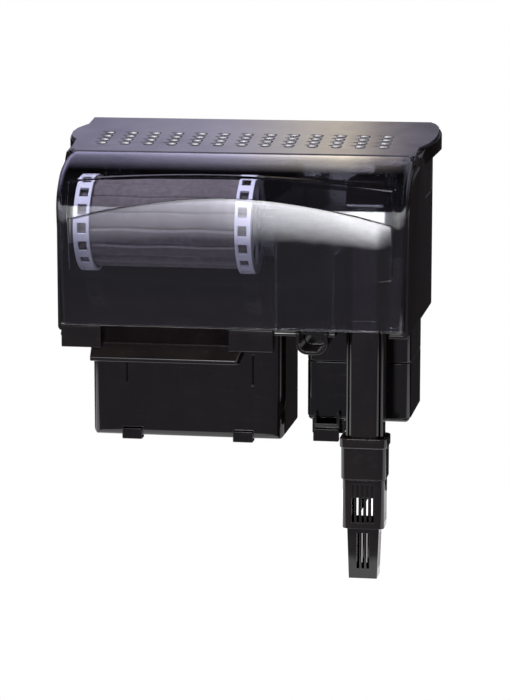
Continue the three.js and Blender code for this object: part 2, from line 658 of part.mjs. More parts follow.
function stator() {
  const core = [
    box(77, 86, 36, 86, -60, -44),
    box(115, 124, 36, 86, -60, -44),
    box(77, 124, 76, 86, -60, -44),
  ];
  return union(...core);
}

function statorCoil() {
  const winding = box(88.5, 112.5, 72.5, 89.5, -63.5, -40.5);
  return cut(winding, box(88, 113, 76 - GAP, 86 + GAP, -60 - GAP, -44 + GAP));
}

add('motor_housing', motorHousing(), BLACK());
add('motor_base', motorBase(), BLACK());
add('stator_core', stator(), STEEL());
add('stator_coil', statorCoil(), COPPER());
add('levelling_slider', levellingSlider(), BLACK());

function cordGland() {
  return cut(
    union(
      round('y', 88, -62, BOX_BACK + GAP, BOX_BACK + 3, 8, 0, 20),
      round('y', 88, -62, BOX_BACK - 6, BOX_BACK + 1, 5, 0, 20),
      round('y', 88, -62, BOX_BACK - 6, BOX_BACK - WALL - GAP, 7.5, 0, 20),
    ),
    round('y', 88, -62, BOX_BACK - 10, BOX_BACK + 10, 3.4, 0, 16),
  );
}

add('cord_gland', cordGland(), RUBBER());

const SHAFT_R = 1.5;
const SHAFT_TOP = -13;
const BUSH_R = 4;
add('rotor_shaft', round('z', INTAKE_X, PUMP_Y, WELL_BOTTOM + GAP, SHAFT_TOP, SHAFT_R, 0, 16), CERAMIC());
add('lower_bush', round('z', INTAKE_X, PUMP_Y, WELL_BOTTOM + GAP, WELL_BOTTOM + 5, BUSH_R,
  SHAFT_R + 0.05, 20), RUBBER());
add('rotor_magnet', round('z', INTAKE_X, PUMP_Y, -60, -34, MAGNET_R, SHAFT_R + 1.4, 24), MAGNET());

// The impeller's sleeve runs down through the magnet; its blades turn in the volute.
function impeller() {
  const sleeve = round('z', INTAKE_X, PUMP_Y, -60.3, -23, SHAFT_R + 1.4 - GAP / 2 - 0.05, 0, 20);
  const plate = round('z', INTAKE_X, PUMP_Y, -33.6, -31.6, MAGNET_R + 0.5, 0, 24);
  const blades = [];
  for (let i = 0; i < 6; i += 1) {
    const blade = box(INTAKE_X + 1, INTAKE_X + 13.5, PUMP_Y - 0.9, PUMP_Y + 0.9, -26.4, -19);
    blades.push(blade.translate([-INTAKE_X, -PUMP_Y, 0]).rotate([0, 0, i * 60])
      .translate([INTAKE_X, PUMP_Y, 0]));
  }
  const hub = round('z', INTAKE_X, PUMP_Y, -33, -19, 4.6, 0, 20);
  const bore = round('z', INTAKE_X, PUMP_Y, -70, 0, SHAFT_R + 0.06, 0, 20);
  return cut(union(sleeve, plate, hub, ...blades), bore);
}

add('impeller', impeller(), WHITE());

function impellerCap() {
  const cup = round('z', INTAKE_X, PUMP_Y, PUMP_BOX.z0 + WALL + GAP, -12, 21, 0, 32);
  const hollow = round('z', INTAKE_X, PUMP_Y, -40, -15, 18, 0, 32);
  const inlet = round('z', INTAKE_X, PUMP_Y, -20, -5, 8, 0, 24);
  const outlet = box(INTAKE_X - 25, INTAKE_X - 12, PUMP_Y - 9, PUMP_Y + 5, -40, -15);
  const bar = box(INTAKE_X - 9, INTAKE_X + 9, PUMP_Y - 1.8, PUMP_Y + 1.8, -15, -12);
  const seat = round('z', INTAKE_X, PUMP_Y, -17, -12, 4.4, 0, 20);
  const hole = round('z', INTAKE_X, PUMP_Y, -18, -12.6, BUSH_R - 1 + GAP, 0, 20);
  return union(cut(cup, hollow, inlet, outlet), cut(union(bar, seat), hole));
}

add('impeller_cap', impellerCap(), GREY());
add('upper_bush', round('z', INTAKE_X, PUMP_Y, -18.4, -13, BUSH_R - 1, SHAFT_R + 0.05, 20), RUBBER());

// ---------- intake ----------
function bentTube(d) {
  const half = INTAKE_DEPTH / 2 - d;
  const [a0, a1] = [INTAKE_IN_Y - half, INTAKE_IN_Y + half];
  const [b0, b1] = [INTAKE_OUT_Y - half, INTAKE_OUT_Y + half];
  const top = INTAKE_TOP - d;
  const under = INTAKE_TOP - INTAKE_DEPTH + d;
  const outerR = 20 - d;
  const foot = d ? 1 : 0;
  const shape = new THREE.Shape();
  shape.moveTo(a0, INTAKE_FOOT - foot);
  shape.lineTo(a1, INTAKE_FOOT - foot);
  shape.lineTo(a1, under - 4);
  shape.lineTo(a1 + 4, under);
  shape.lineTo(b0 - 4, under);
  shape.lineTo(b0, under - 4);
  shape.lineTo(b0, -11.4 - foot);
  shape.lineTo(b1, -11.4 - foot);
  shape.lineTo(b1, top - outerR);
  shape.absarc(b1 - outerR, top - outerR, outerR, 0, Math.PI / 2);
  shape.lineTo(a0 + outerR, top);
  shape.absarc(a0 + outerR, top - outerR, outerR, Math.PI / 2, Math.PI);
  return shape;
}

function intakeTube() {
  const x = [INTAKE_X - INTAKE_HALF, INTAKE_X + INTAKE_HALF];
  const outer = prismX(bentTube(0), ...x, 6);
  const inner = prismX(bentTube(2.2), x[0] + 2.2, x[1] - 2.2, 6);
  const bevel = 5;
  const cutters = [-1, 1].map((side) => {
    const edge = INTAKE_X + side * INTAKE_HALF;
    const front = INTAKE_IN_Y - INTAKE_DEPTH / 2;
    const corner = [[edge - side * bevel, front], [edge, front + bevel], [edge + side, front + bevel],
      [edge + side, front - 1], [edge - side * bevel, front - 1]];
    return prismZ(outline(side > 0 ? corner : corner.reverse()), INTAKE_FOOT - 5, INTAKE_TOP - 20);
  });
  return cut(outer, ...cutters, inner);
}

add('intake_tube', intakeTube(), INTAKE_BLACK());

function intakeSeal() {
  const half = INTAKE_DEPTH / 2;
  const ring = (d, r) => roundRect(INTAKE_X - INTAKE_HALF - d, INTAKE_X + INTAKE_HALF + d,
    INTAKE_OUT_Y - half - d, INTAKE_OUT_Y + half + d, r);
  return cut(prismZ(ring(3, 3), -11.2, -6), prismZ(ring(GAP, 0.2), -12, 0));
}

add('intake_seal', intakeSeal(), RUBBER());

// ---------- strainer: telescopes on the tank leg ----------
const SLEEVE = { half: 17.6, depth: 14.2, wall: 2, z0: -113, z1: -80.5 };
const COLLAR_Z = -88;

function tubeOutline(half, depth, d, r) {
  return roundRect(INTAKE_X - half + d, INTAKE_X + half - d, INTAKE_IN_Y - depth + d,
    INTAKE_IN_Y + depth - d, Math.max(r - d, 1));
}

function strainerSleeve() {
  const body = prismZ(tubeOutline(SLEEVE.half, SLEEVE.depth, 0, 6), SLEEVE.z0, COLLAR_Z + 1, 3);
  const collar = prismZ(tubeOutline(SLEEVE.half + 1, SLEEVE.depth + 1, 0, 6), COLLAR_Z, SLEEVE.z1, 3);
  const bore = prismZ(tubeOutline(INTAKE_HALF + 0.5, INTAKE_DEPTH / 2 + 0.5, 0, 1), -200, 0, 1);
  return cut(union(body, collar), bore);
}

// Slotted basket: a wide upper part, then a tapering lower part, closed at the bottom.
const BASKET = { wall: 2, z1: -113 - GAP, step: -152, z0: -192 };

function strainerBasket() {
  const upper = prismZ(tubeOutline(16.4, 12.6, 0, 5), BASKET.step, BASKET.z1, 3);
  const lowerBody = taperedFoot(0);
  const inside = prismZ(tubeOutline(INTAKE_HALF + 0.5, INTAKE_DEPTH / 2 + 0.5, 0, 1),
    BASKET.step + 2, BASKET.z1 + 1, 1);
  const lowerInside = taperedFoot(BASKET.wall);
  const slots = [];
  for (const offset of [-7.6, -3.8, 0, 3.8, 7.6]) {
    slots.push(box(INTAKE_X + offset - 1, INTAKE_X + offset + 1, -45, 5, -147, -117));
    if (Math.abs(offset) < 7) {
      slots.push(box(INTAKE_X + offset - 1, INTAKE_X + offset + 1, -45, 5, -184, -156));
    }
  }
  for (const offset of [-5, 0, 5]) {
    const y = INTAKE_IN_Y + offset;
    slots.push(box(INTAKE_X - 25, INTAKE_X + 25, y - 1.1, y + 1.1, -147, -119));
    slots.push(box(INTAKE_X - 25, INTAKE_X + 25, y - 1.1, y + 1.1, -184, -156));
  }
  return cut(union(upper, lowerBody), inside, lowerInside, ...slots);
}

// The lower part narrows by a few millimetres towards its closed end.
function taperedFoot(d) {
  const [topHalf, endHalf, depth] = [12.6 - d, 11 - d, 9.8 - d];
  const side = outline([[INTAKE_X - topHalf, BASKET.step + 3], [INTAKE_X - endHalf, BASKET.z0 + d],
    [INTAKE_X + endHalf, BASKET.z0 + d], [INTAKE_X + topHalf, BASKET.step + 3]]);
  return prismY(side, INTAKE_IN_Y - depth, INTAKE_IN_Y + depth);
}

add('strainer_sleeve', strainerSleeve(), INTAKE_BLACK());
add('strainer_basket', strainerBasket(), INTAKE_BLACK());

export default group;
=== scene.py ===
# Hang-on-back aquarium filter: the looks. Shapes are written in millimetres, in the CAD model's own frame,
# and MM turns them into metres. +X runs along the tank's rim, -Y points into the tank, +Z is up.
import math

import bpy
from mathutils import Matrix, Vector, noise


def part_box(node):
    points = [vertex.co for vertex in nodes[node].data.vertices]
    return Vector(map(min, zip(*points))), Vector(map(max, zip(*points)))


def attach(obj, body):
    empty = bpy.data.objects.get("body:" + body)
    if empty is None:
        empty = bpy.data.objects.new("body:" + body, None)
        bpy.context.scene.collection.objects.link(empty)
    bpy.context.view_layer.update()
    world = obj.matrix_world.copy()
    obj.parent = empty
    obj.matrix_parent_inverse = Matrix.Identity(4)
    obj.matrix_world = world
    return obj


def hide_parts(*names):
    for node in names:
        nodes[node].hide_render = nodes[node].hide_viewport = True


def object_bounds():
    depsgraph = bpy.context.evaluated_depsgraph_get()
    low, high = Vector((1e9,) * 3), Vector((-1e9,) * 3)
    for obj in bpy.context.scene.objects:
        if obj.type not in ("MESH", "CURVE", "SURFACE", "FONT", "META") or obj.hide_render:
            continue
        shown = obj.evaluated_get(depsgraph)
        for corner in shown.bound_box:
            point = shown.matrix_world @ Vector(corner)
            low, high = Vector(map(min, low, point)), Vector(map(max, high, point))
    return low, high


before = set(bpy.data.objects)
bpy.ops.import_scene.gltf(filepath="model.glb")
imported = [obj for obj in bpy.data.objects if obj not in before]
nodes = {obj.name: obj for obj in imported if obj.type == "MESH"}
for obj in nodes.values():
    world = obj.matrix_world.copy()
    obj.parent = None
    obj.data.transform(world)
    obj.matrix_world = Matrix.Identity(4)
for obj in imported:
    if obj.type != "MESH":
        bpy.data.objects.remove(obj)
cad_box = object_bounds()

MM = 0.001


# ---------------------------------------------------------------- mesh helpers
def add_mesh(name, points, faces, body, material, replaced=()):
    """A new smooth piece from points in millimetres, riding on a body in place of some CAD nodes."""
    mesh = bpy.data.meshes.new(name)
    mesh.from_pydata([(x * MM, y * MM, z * MM) for x, y, z in points], [], faces)
    mesh.validate()
    for polygon in mesh.polygons:
        polygon.use_smooth = True
    mesh.materials.append(material)
    piece = bpy.data.objects.new(name, mesh)
    bpy.context.scene.collection.objects.link(piece)
    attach(piece, body)
    if replaced:
        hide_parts(*replaced)
    return piece


def box_mm(node):
    """A CAD node's lowest and highest corners, in millimetres."""
    low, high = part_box(node)
    return [c / MM for c in low], [c / MM for c in high]


def grid_faces(rows, columns, start=0, close_rows=False, close_columns=False):
    """Quads over a grid of points that is stored row by row and may close on itself either way."""
    faces = []
    for i in range(rows if close_rows else rows - 1):
        here = start + i * columns
        there = start + (i + 1) % rows * columns
        for j in range(columns if close_columns else columns - 1):
            k = (j + 1) % columns
            faces.append((here + j, here + k, there + k, there + j))
    return faces


def smoothstep(low, high, value):
    """0 below low, 1 above high, and a smooth rise between them."""
    t = min(1.0, max(0.0, (value - low) / (high - low)))
    return t * t * (3 - 2 * t)


def modifier(piece, kind, name, **settings):
    made = piece.modifiers.new(name, kind)
    for key, value in settings.items():
        setattr(made, key, value)


# ---------------------------------------------------------------- materials
def new_material(name):
    """A material with its node tree, its shader and the place on the piece that textures are read at."""
    material = bpy.data.materials.new(name)
    material.use_nodes = True
    tree = material.node_tree
    shader = tree.nodes["Principled BSDF"]
    place = tree.nodes.new("ShaderNodeTexCoord").outputs["Object"]
    return material, tree, shader, place


def noise_node(tree, place, scale, detail, roughness=0.5, stretch=None):
    """Cloudy noise from 0 to 1. A stretch under 1 draws it out along that axis."""
    if stretch:
        mapping = tree.nodes.new("ShaderNodeMapping")
        mapping.inputs["Scale"].default_value = stretch
        tree.links.new(place, mapping.inputs["Vector"])
        place = mapping.outputs["Vector"]
    made = tree.nodes.new("ShaderNodeTexNoise")
    made.inputs["Scale"].default_value = scale
    made.inputs["Detail"].default_value = detail
    made.inputs["Roughness"].default_value = roughness
    tree.links.new(place, made.inputs["Vector"])
    return made.outputs["Fac"]


def ramp(tree, source, stops):
    """Colours by (position, colour) stops along a source."""
    made = tree.nodes.new("ShaderNodeValToRGB")
    elements = made.color_ramp.elements
    while len(elements) < len(stops):
        elements.new(0.5)
    for element, (position, colour) in zip(elements, stops):
        element.position = position
        element.color = (*colour, 1.0)
    tree.links.new(source, made.inputs["Fac"])
    return made.outputs["Color"]


def span(tree, source, low, high, to_low, to_high):
    """A source's range from low to high, carried over to another range and held at its ends."""
    made = tree.nodes.new("ShaderNodeMapRange")
    made.inputs["From Min"].default_value = low
    made.inputs["From Max"].default_value = high
    made.inputs["To Min"].default_value = to_low
    made.inputs["To Max"].default_value = to_high
    tree.links.new(source, made.inputs["Value"])
    return made.outputs["Result"]


def mix_colour(tree, factor, a, b):
    """Colour a where the factor is 0 and b where it is 1; either may be a plain colour or a socket."""
    made = tree.nodes.new("ShaderNodeMix")
    made.data_type = "RGBA"
    tree.links.new(factor, made.inputs["Factor"])
    for socket, value in ((made.inputs["A"], a), (made.inputs["B"], b)):
        if isinstance(value, tuple):
            socket.default_value = (*value, 1.0)
        else:
            tree.links.new(value, socket)
    return made.outputs["Result"]


def join_values(tree, operation, a, b):
    made = tree.nodes.new("ShaderNodeMath")
    made.operation = operation
    for socket, source in zip(made.inputs, (a, b)):
        tree.links.new(source, socket)
    return made.outputs["Value"]


def bump(tree, shader, height, distance, strength=1.0):
    """Fine relief from a height, at most the distance deep, in metres."""
    made = tree.nodes.new("ShaderNodeBump")
    made.inputs["Distance"].default_value = distance
    made.inputs["Strength"].default_value = strength
    tree.links.new(height, made.inputs["Height"])
    tree.links.new(made.outputs["Normal"], shader.inputs["Normal"])


def moulded(name, dark, light, rough, wear, texture, grain=1400, coat=0.0):
    """Moulded plastic: cloudy colour, paler rubbed patches, uneven gloss and fine orange peel.

    The colour runs from dark to light, wear is the rubbed patches' colour, rough is the least and
    the most roughness, and the orange peel is texture deep, in metres, at the scale of grain.
    """
    material, tree, shader, place = new_material(name)
    clouds = noise_node(tree, place, scale=28, detail=4)
    colour = ramp(tree, clouds, [(0.32, dark), (0.7, light)])
    rubbed = noise_node(tree, place, scale=130, detail=7, roughness=0.65)
    worn = span(tree, rubbed, 0.58, 0.78, 0.0, 0.12)
    tree.links.new(mix_colour(tree, worn, colour, wear), shader.inputs["Base Color"])
    smears = noise_node(tree, place, scale=60, detail=6, roughness=0.6, stretch=(1.0, 1.0, 0.25))
    hairlines = noise_node(tree, place, scale=900, detail=2, stretch=(0.04, 1.0, 1.0))
    smeared = span(tree, smears, 0.3, 0.7, *rough)
    scratched = span(tree, hairlines, 0.62, 0.7, 0.0, 0.04)
    gloss = join_values(tree, "ADD", smeared, scratched)
    tree.links.new(gloss, shader.inputs["Roughness"])
    shader.inputs["Coat Weight"].default_value = coat
    shader.inputs["Coat Roughness"].default_value = 0.06
    bump(tree, shader, noise_node(tree, place, scale=grain, detail=2), texture)
    return material


def smoked(name, tint, rough):
    """Clear smoke-tinted plastic, whose shadow is only tinted, so lamps reach what it covers."""
    material, tree, shader, place = new_material(name)
    streaks = noise_node(tree, place, scale=22, detail=3, stretch=(1.0, 1.0, 0.3))
    deeper = tuple(c * 0.86 for c in tint)
    tree.links.new(ramp(tree, streaks, [(0.35, deeper), (0.65, tint)]), shader.inputs["Base Color"])
    shader.inputs["Transmission Weight"].default_value = 1.0
    shader.inputs["IOR"].default_value = 1.5
    smears = noise_node(tree, place, scale=75, detail=6, roughness=0.65)
    tree.links.new(span(tree, smears, 0.35, 0.75, *rough), shader.inputs["Roughness"])
    bump(tree, shader, noise_node(tree, place, scale=55, detail=2), distance=0.00006, strength=0.5)
    clear = tree.nodes.new("ShaderNodeBsdfTransparent")
    clear.inputs["Color"].default_value = (*(math.sqrt(c) for c in tint), 1.0)
    mix = tree.nodes.new("ShaderNodeMixShader")
    path = tree.nodes.new("ShaderNodeLightPath")
    tree.links.new(path.outputs["Is Shadow Ray"], mix.inputs[0])
    tree.links.new(shader.outputs[0], mix.inputs[1])
    tree.links.new(clear.outputs[0], mix.inputs[2])
    tree.links.new(mix.outputs[0], tree.nodes["Material Output"].inputs["Surface"])
    return material


def woven(name, dark, light, thread, sheen=0.25):
    """Fibrous sheet: fine crossed threads over mottled colour."""
    material, tree, shader, place = new_material(name)
    mottle = noise_node(tree, place, scale=240, detail=6, roughness=0.65)
    tree.links.new(ramp(tree, mottle, [(0.3, dark), (0.72, light)]), shader.inputs["Base Color"])
    shader.inputs["Roughness"].default_value = 0.92
    shader.inputs["Sheen Weight"].default_value = sheen
    along = noise_node(tree, place, scale=thread, detail=2, stretch=(0.12, 1.0, 1.0))
    across = noise_node(tree, place, scale=thread, detail=2, stretch=(1.0, 0.12, 1.0))
    bump(tree, shader, join_values(tree, "ADD", along, across), 0.00025)
    return material


def metal(name, colour, rough, brushed):
    """Bare metal with fine lines, drawn out as brushed says."""
    material, tree, shader, place = new_material(name)
    lines = noise_node(tree, place, scale=1300, detail=3, roughness=0.6, stretch=brushed)
    dark = tuple(c * 0.62 for c in colour)
    tree.links.new(ramp(tree, lines, [(0.35, dark), (0.65, colour)]), shader.inputs["Base Color"])
    shader.inputs["Metallic"].default_value = 1.0
    tree.links.new(span(tree, lines, 0.3, 0.7, *rough), shader.inputs["Roughness"])
    bump(tree, shader, lines, 0.00004)
    return material


def granular(name, dark, light):
    """Pressed grains with painted shade: their colour is paler at their middles and darker in the gaps,
    where shade falls.
    """
    material, tree, shader, place = new_material(name)
    cells = tree.nodes.new("ShaderNodeTexVoronoi")
    cells.inputs["Scale"].default_value = 620
    tree.links.new(place, cells.inputs["Vector"])
    distance = cells.outputs["Distance"]
    # Painted shade: the colour darkens towards the gaps between grains and pales at their middles.
    tree.links.new(ramp(tree, distance, [(0.1, light), (0.6, dark)]), shader.inputs["Base Color"])
    tree.links.new(span(tree, distance, 0.0, 0.7, 0.45, 0.9), shader.inputs["Roughness"])
    bump(tree, shader, distance, 0.0004)
    return material


LID_BLACK = moulded("lid_black", dark=(0.020, 0.019, 0.026), light=(0.034, 0.032, 0.042),
                    rough=(0.07, 0.14), wear=(0.12, 0.12, 0.14), texture=0.000004, grain=900)
BODY_BLACK = moulded("body_black", dark=(0.0026, 0.0019, 0.0017), light=(0.0050, 0.0037, 0.0033),
                     rough=(0.05, 0.09), wear=(0.035, 0.030, 0.028), texture=0.000008)
MOTOR_BLACK = moulded("motor_black", dark=(0.0022, 0.0018, 0.0017), light=(0.0040, 0.0033, 0.0032),
                      rough=(0.05, 0.08), wear=(0.035, 0.030, 0.028), texture=0.000008, grain=1700)
INTAKE_BLACK = moulded("intake_black", dark=(0.0026, 0.0020, 0.0018), light=(0.0052, 0.0040, 0.0036),
                       rough=(0.05, 0.09), wear=(0.045, 0.039, 0.036), texture=0.000008)
WHEEL_WHITE = moulded("wheel_white", dark=(0.76, 0.76, 0.82), light=(0.88, 0.88, 0.93),
                      rough=(0.35, 0.5), wear=(0.95, 0.95, 0.97), texture=0.00004)
BLUE_PLASTIC = moulded("blue_plastic", dark=(0.035, 0.10, 0.30), light=(0.055, 0.15, 0.38),
                       rough=(0.35, 0.5), wear=(0.2, 0.32, 0.55), texture=0.00005)
GREY_PLASTIC = moulded("grey_plastic", dark=(0.045, 0.047, 0.052), light=(0.075, 0.078, 0.085),
                       rough=(0.4, 0.55), wear=(0.2, 0.2, 0.21), texture=0.00006)
RUBBER = moulded("soft_rubber", dark=(0.010, 0.010, 0.010), light=(0.024, 0.023, 0.022),
                 rough=(0.7, 0.9), wear=(0.06, 0.06, 0.06), texture=0.00012, grain=700)
CERAMIC = moulded("white_ceramic", dark=(0.80, 0.78, 0.73), light=(0.88, 0.87, 0.83),
                  rough=(0.08, 0.16), wear=(0.95, 0.94, 0.9), texture=0.00001, grain=2200, coat=0.5)
FERRITE = granular("grey_ferrite", dark=(0.03, 0.03, 0.033), light=(0.075, 0.075, 0.08))
CARBON = granular("carbon_grains", dark=(0.006, 0.006, 0.007), light=(0.05, 0.05, 0.055))
STEEL = metal("stacked_steel", colour=(0.5, 0.5, 0.52), rough=(0.3, 0.5), brushed=(0.02, 0.02, 1.0))
COPPER = metal("copper_wire", colour=(0.75, 0.32, 0.13), rough=(0.18, 0.34), brushed=(1.0, 0.1, 0.1))
SMOKE = smoked("smoked_clear", tint=(0.50, 0.50, 0.58), rough=(0.015, 0.05))
PLEAT = woven("pleated_polyester", dark=(0.13, 0.112, 0.108), light=(0.205, 0.18, 0.18), thread=1500)
FLOSS = woven("white_floss", dark=(0.62, 0.66, 0.70), light=(0.88, 0.90, 0.92), thread=800, sheen=0.4)


# ---------------------------------------------------------------- CAD nodes that stay
EDGE_ANGLE = math.radians(32)
FLAT_ANGLE = math.radians(0.6)


def polish(node, material, width, simplify):
    """A CAD node with edges softened to a width and a better material. Its own mesh isn't changed."""
    piece = nodes[node]
    for piece_slot in piece.material_slots:
        piece_slot.material = material
    piece.data.shade_smooth()
    modifier(piece, "WELD", "weld", merge_threshold=0.00002)
    if simplify:
        modifier(piece, "DECIMATE", "flat", decimate_type="DISSOLVE", angle_limit=FLAT_ANGLE)
    modifier(piece, "BEVEL", "edges", width=width * MM, segments=2, limit_method="ANGLE",
             angle_limit=EDGE_ANGLE, use_clamp_overlap=False)
    modifier(piece, "WEIGHTED_NORMAL", "normals", keep_sharp=True, weight=60)


# Node: its material, and its edges' width in millimetres.
KEPT = {
    "filter_body": (BODY_BLACK, 0.7),
    "vented_lid": (LID_BLACK, 0.4),
    "motor_housing": (MOTOR_BLACK, 0.6),
    "motor_base": (MOTOR_BLACK, 0.4),
    "levelling_slider": (BODY_BLACK, 0.5),
    "intake_tube": (INTAKE_BLACK, 0.7),
    "strainer_sleeve": (INTAKE_BLACK, 0.6),
    "strainer_basket": (INTAKE_BLACK, 0.3),
    "wheel_rim_left": (WHEEL_WHITE, 0.3),
    "wheel_rim_right": (WHEEL_WHITE, 0.3),
    "wheel_core": (BLUE_PLASTIC, 0.3),
    "axle_pin_left": (WHEEL_WHITE, 0.4),
    "axle_pin_right": (WHEEL_WHITE, 0.4),
    "wheel_cradle_left": (GREY_PLASTIC, 0.5),
    "wheel_cradle_right": (GREY_PLASTIC, 0.5),
    "cartridge_frame_front": (BLUE_PLASTIC, 0.5),
    "cartridge_frame_rear": (BLUE_PLASTIC, 0.5),
    "impeller": (WHEEL_WHITE, 0.2),
    "impeller_cap": (GREY_PLASTIC, 0.5),
    "rotor_magnet": (FERRITE, 0.6),
    "rotor_shaft": (CERAMIC, 0.3),
    "lower_bush": (RUBBER, 0.3),
    "upper_bush": (RUBBER, 0.3),
    "intake_seal": (RUBBER, 0.6),
    "cord_gland": (RUBBER, 0.6),
    "stator_core": (STEEL, 0.3),
}
for kept_node, (kept_material, kept_width) in KEPT.items():
    # Merging the slotted lid's flat faces leaves dark cracks in its shading, so it keeps its triangles.
    polish(kept_node, kept_material, kept_width, simplify=kept_node != "vented_lid")

# ---------------------------------------------------------------- front cover
# The cover's profile is upright up to BEND_Z, then a quarter ellipse back to its seam with the lid.
SEAM_Y, SEAM_Z = -3.0, 135.0
COVER_FRONT, COVER_BOTTOM, BEND_Z = -57.0, 6.0, 95.0
BEND_DEPTH, BEND_RISE = SEAM_Y - COVER_FRONT, SEAM_Z - BEND_Z
COVER_HALF, COVER_WALL, COVER_SKIRT, CORNER_R = 135.5, 2.2, 8.8, 7.0
TAPER = 3.0 / COVER_HALF
WINDOW_HALF = 126.0
LEAN_FROM, LEAN_TO, LEAN = 84, 100, 0.56  # the face leans back between two heights, by this much in all


def lean(z):
    """How far the face has leant back at a height, on top of the profile."""
    return LEAN * smoothstep(LEAN_FROM, LEAN_TO, z)


def window_bottom(x):
    """Height of the window's lower edge, which rises towards both ends."""
    return 39.0 + 6.3 * (x / 125.0) ** 2


def window_arc(x):
    """Height of the lens's top, an arc that falls towards both ends."""
    return 105.6 - 18.0 * abs((x + 2.0) / 124.0) ** 1.9


def window_top(x):
    """Height of the window's upper edge, highest left of the middle."""
    return 121.5 - 6.3 * ((x + 12.0) / 128.0) ** 2


def path_of_height(z):
    """Position along the cover's profile, in degrees of bend above the upright part."""
    if z <= BEND_Z:
        return z - BEND_Z
    return math.degrees(math.asin(min(1.0, (z - BEND_Z) / BEND_RISE)))


def profile(path):
    """Point (y, z) and outward direction at a position along the profile."""
    if path <= 0:
        return (COVER_FRONT, BEND_Z + path), (-1.0, 0.0)
    phi = math.radians(path)
    out = Vector((-math.cos(phi) / BEND_DEPTH, math.sin(phi) / BEND_RISE)).normalized()
    point = (SEAM_Y - BEND_DEPTH * math.cos(phi), BEND_Z + BEND_RISE * math.sin(phi))
    return point, (out.x, out.y)


def stand_back(z):
    """How far the bend has drawn the face back from upright, at a height."""
    if z <= BEND_Z:
        return 0.0
    risen = (z - BEND_Z) / BEND_RISE
    return BEND_DEPTH * (1 - math.sqrt(1 - risen ** 2))


BEAD, LOW_BEAD, BEAD_REACH = 0.5, 0.03, 0.9  # the bead's height, its height at the bottom, its reach
SUNK, LENS_BULGE = 0.7, 0.62


def relief(x, z):
    """How far the cover's face stands out: a beaded window edge, a sunk upper part and a bulged lens.

    The lens stays upright, so it stands out by what the bend and the lean draw back.
    """
    side = WINDOW_HALF - abs(x)
    low, arc, top = window_bottom(x), window_arc(x), window_top(x)
    inside = min(side, z - low, top - z)
    bead = LOW_BEAD if z - low < 2 else BEAD
    height = bead * math.exp(-((inside / BEAD_REACH) ** 2))
    if inside <= 0:
        return height
    edge = smoothstep(0.8, 2.2, inside)
    if z >= arc:
        return height - SUNK * edge
    drop = (arc - z) / (arc - low)
    fade = smoothstep(0.5, 9.0, side)
    upright = stand_back(z) + lean(z)
    return height + upright + edge * fade * LENS_BULGE * (4 * drop * (1 - drop))


def cover_columns():
    """Stations across the cover as (x, depth behind its front)."""
    flat = COVER_HALF - CORNER_R
    stations = [(-COVER_HALF, COVER_SKIRT), (-COVER_HALF, CORNER_R + 0.6)]
    turns = [math.radians(a) for a in range(0, 91, 9)]
    stations += [(-flat - CORNER_R * math.cos(a), CORNER_R * (1 - math.sin(a))) for a in turns]
    edge = [WINDOW_HALF + offset for offset in (-9, -3, -1.4, -0.7, 0, 0.7, 1.4)]
    across = sorted([-x for x in edge] + edge + list(range(-112, 113, 4)))
    stations += [(x, 0.0) for x in across]
    stations += [(-x, depth) for x, depth in reversed(stations[:2 + len(turns)])]
    return stations


def cover_rows(x):
    """Positions up the profile for one station, lined up with the window's edges."""
    inner = max(-WINDOW_HALF, min(WINDOW_HALF, x))
    low, arc, top = window_bottom(inner), window_arc(inner), window_top(inner)
    keys = [COVER_BOTTOM, COVER_BOTTOM + 1.2, low - 1.6, low, low + 2.4,
            arc - 1.2, arc - 0.1, arc + 0.1, arc + 1.2, top - 2.2, top, top + 1.6]
    counts = [1, 12, 4, 4, 34, 3, 1, 3, 8, 5, 4]
    bend_rows = 22
    paths = []
    for start, end, count in zip(keys, keys[1:], counts):
        a, b = path_of_height(start), path_of_height(end)
        paths += [a + (b - a) * i / count for i in range(count)]
    last = path_of_height(keys[-1])
    paths += [last + (90.0 - last) * i / bend_rows for i in range(bend_rows + 1)]
    return paths


def front_cover():
    """The smoked shell, a little narrower towards its foot."""
    stations = cover_columns()
    columns = [cover_rows(x) for x, _ in stations]
    rows = len(columns[0])
    points = []
    for i in range(rows):
        for (x, depth), paths in zip(stations, columns):
            (y, z), (out_y, out_z) = profile(paths[i])
            stand = relief(x, z) if depth == 0 else -depth
            stand -= lean(z)
            y, z = y + out_y * stand, z + out_z * stand
            narrow = 1 - TAPER * max(0.0, BEND_Z - z) / (BEND_Z - COVER_BOTTOM)
            points.append((x * narrow, y, max(z, COVER_BOTTOM)))
    faces = grid_faces(rows, len(stations))
    cover = add_mesh("cover_shell", points, faces, "cover", SMOKE, ("front_cover",))
    modifier(cover, "SOLIDIFY", "wall", thickness=COVER_WALL * MM, offset=-1.0, use_even_offset=False)


LID_SLOPE = 17 / 107
HINGE_INSET = 1.25  # the pins' axis, behind the lid's front edge and below its top


def lid_top(y):
    """Height of the lid's top face."""
    return SEAM_Z + (y - SEAM_Y) * LID_SLOPE


def hinge_ears():
    """The cover's two small ears that hold the lid's pins."""
    hinge_y = box_mm("vented_lid")[0][1] + HINGE_INSET
    hinge_z = lid_top(hinge_y) - HINGE_INSET
    outline = [(-4.2, -2.4), (1.4, -2.4), (2.2, -1.4), (2.0, 0.6), (0.6, 1.2), (-1.6, 1.1), (-4.2, 0.4)]
    sections = [(133.2, 0.86), (133.8, 1.0), (134.9, 1.0), (135.4, 0.86)]
    count = len(outline)
    for side, label in ((-1, "left"), (1, "right")):
        points = [(side * x, hinge_y + u * scale, hinge_z + v * scale)
                  for x, scale in sections for u, v in outline]
        faces = grid_faces(len(sections), count, close_columns=True)
        faces.append(tuple(range(count))[::-1])
        faces.append(tuple(range((len(sections) - 1) * count, len(sections) * count)))
        if side < 0:
            faces = [face[::-1] for face in faces]
        add_mesh(f"cover_hinge_ear_{label}", points, faces, "cover", SMOKE)


front_cover()
hinge_ears()

